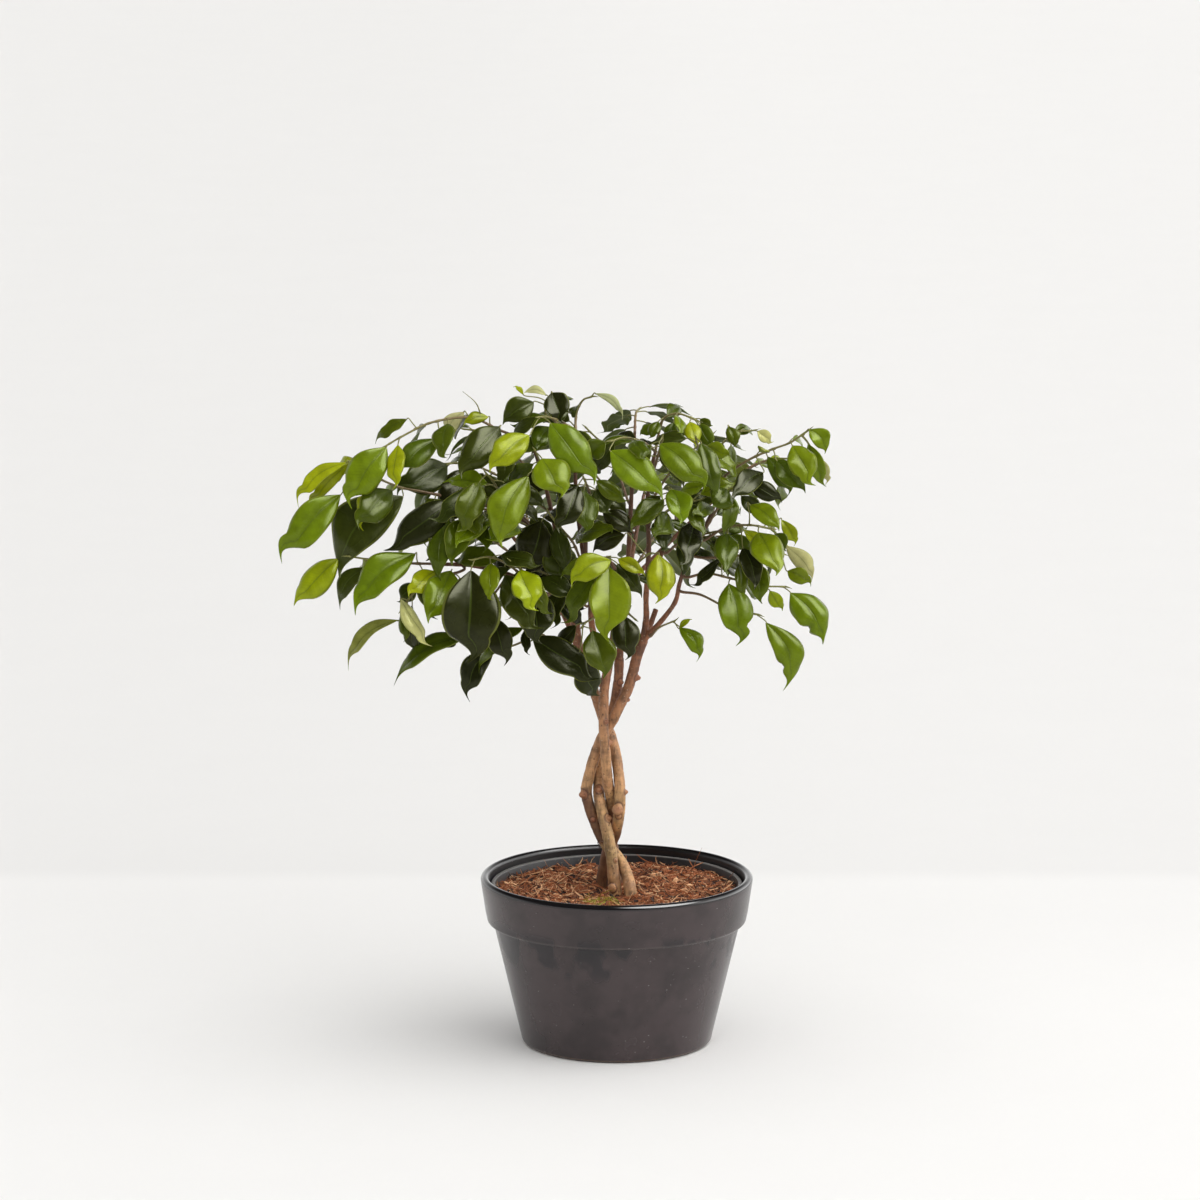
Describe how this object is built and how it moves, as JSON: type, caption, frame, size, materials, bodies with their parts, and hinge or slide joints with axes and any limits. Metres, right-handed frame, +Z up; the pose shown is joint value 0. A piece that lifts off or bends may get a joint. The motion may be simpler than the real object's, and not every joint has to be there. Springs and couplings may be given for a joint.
{
  "type": "potted weeping fig",
  "caption": "Small indoor tree with braided woody strands, rising from soil in a plastic grow pot that stands inside a collared glazed pot, and a wide low crown of leafy shoots.",
  "frame": {"origin": "centre of the glazed pot's flat underside, on the surface it stands on", "axes": "+Z up along the pot's axis, -Y towards the plant's front, +X to its right seen from the front"},
  "size_m": [0.431, 0.2659, 0.5295],
  "materials": {
    "glaze": "semi-gloss near-black glaze",
    "plastic": "matte black",
    "soil": "rough reddish-brown coir mix",
    "bark": "dull bark",
    "leaf": "glossy waxy leaf"
  },
  "bodies": {
    "root": {"grow_pot": "plastic", "outer_pot": "glaze", "shoot_back": "leaf", "shoot_back_centre": "leaf", "shoot_back_high": "leaf", "shoot_back_left": "leaf", "shoot_back_low": "leaf", "shoot_back_mid_left": "leaf", "shoot_back_outer": "leaf", "shoot_back_right": "leaf", "shoot_back_side": "leaf", "shoot_centre": "leaf", "shoot_crown_left": "leaf", "shoot_crown_tip": "leaf", "shoot_deep_centre": "leaf", "shoot_deep_left": "leaf", "shoot_deep_low": "leaf", "shoot_deep_outer": "leaf", "shoot_deep_right": "leaf", "shoot_front_high": "leaf", "shoot_front_left": "leaf", "shoot_front_low": "leaf", "shoot_front_mid": "leaf", "shoot_front_right": "leaf", "shoot_front_top": "leaf", "shoot_high_back": "leaf", "shoot_high_right": "leaf", "shoot_inner_back": "leaf", "shoot_inner_left": "leaf", "shoot_inner_right": "leaf", "shoot_left_dark": "leaf", "shoot_left_front": "leaf", "shoot_left_low": "leaf", "shoot_left_mid": "leaf", "shoot_left_outer": "leaf", "shoot_left_under": "leaf", "shoot_low_back": "leaf", "shoot_low_end": "leaf", "shoot_low_left": "leaf", "shoot_low_outer": "leaf", "shoot_low_right": "leaf", "shoot_low_twig": "leaf", "shoot_rear_top": "leaf", "shoot_right_front": "leaf", "shoot_right_inner": "leaf", "shoot_right_low": "leaf", "shoot_right_mid": "leaf", "shoot_right_tip": "leaf", "shoot_right_top": "leaf", "shoot_small_right": "leaf", "shoot_top_left": "leaf", "shoot_top_right": "leaf", "shoot_under_centre": "leaf", "shoot_under_left": "leaf", "shoot_under_right": "leaf", "soil": "soil", "stem_a": "bark", "stem_b": "bark", "stem_c": "bark", "stem_d": "bark"}
  },
  "joints": []
}
